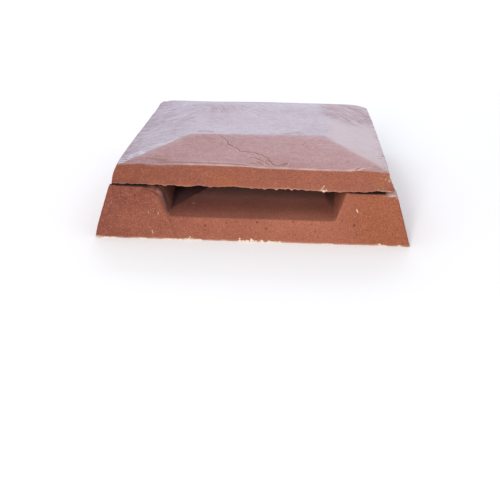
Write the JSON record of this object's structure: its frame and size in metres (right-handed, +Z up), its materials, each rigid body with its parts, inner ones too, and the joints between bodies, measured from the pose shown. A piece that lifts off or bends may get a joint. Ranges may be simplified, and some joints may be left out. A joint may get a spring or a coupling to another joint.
{
  "type": "vented chimney cap",
  "caption": "Square vented chimney cap of red concrete: a hollow hipped base with a through air channel, roofed by a loose hipped cover slab.",
  "frame": {"origin": "centre of the square underside of the vent base, the face the cap stands on", "axes": "+Z up; -Y is the front, a mouth of the air channel; +X is to the right seen from the front"},
  "size_m": [0.316, 0.316, 0.0843],
  "materials": {
    "base_concrete": "cast concrete with red pigment, sandy and pitted, pale crumbs along the lower edge",
    "cover_concrete": "cast concrete with red pigment, trowelled top with a pale lime bloom and a hairline crack"
  },
  "bodies": {
    "root": {"vent_base": "base_concrete", "cover_slab": "cover_concrete"}
  },
  "joints": []
}
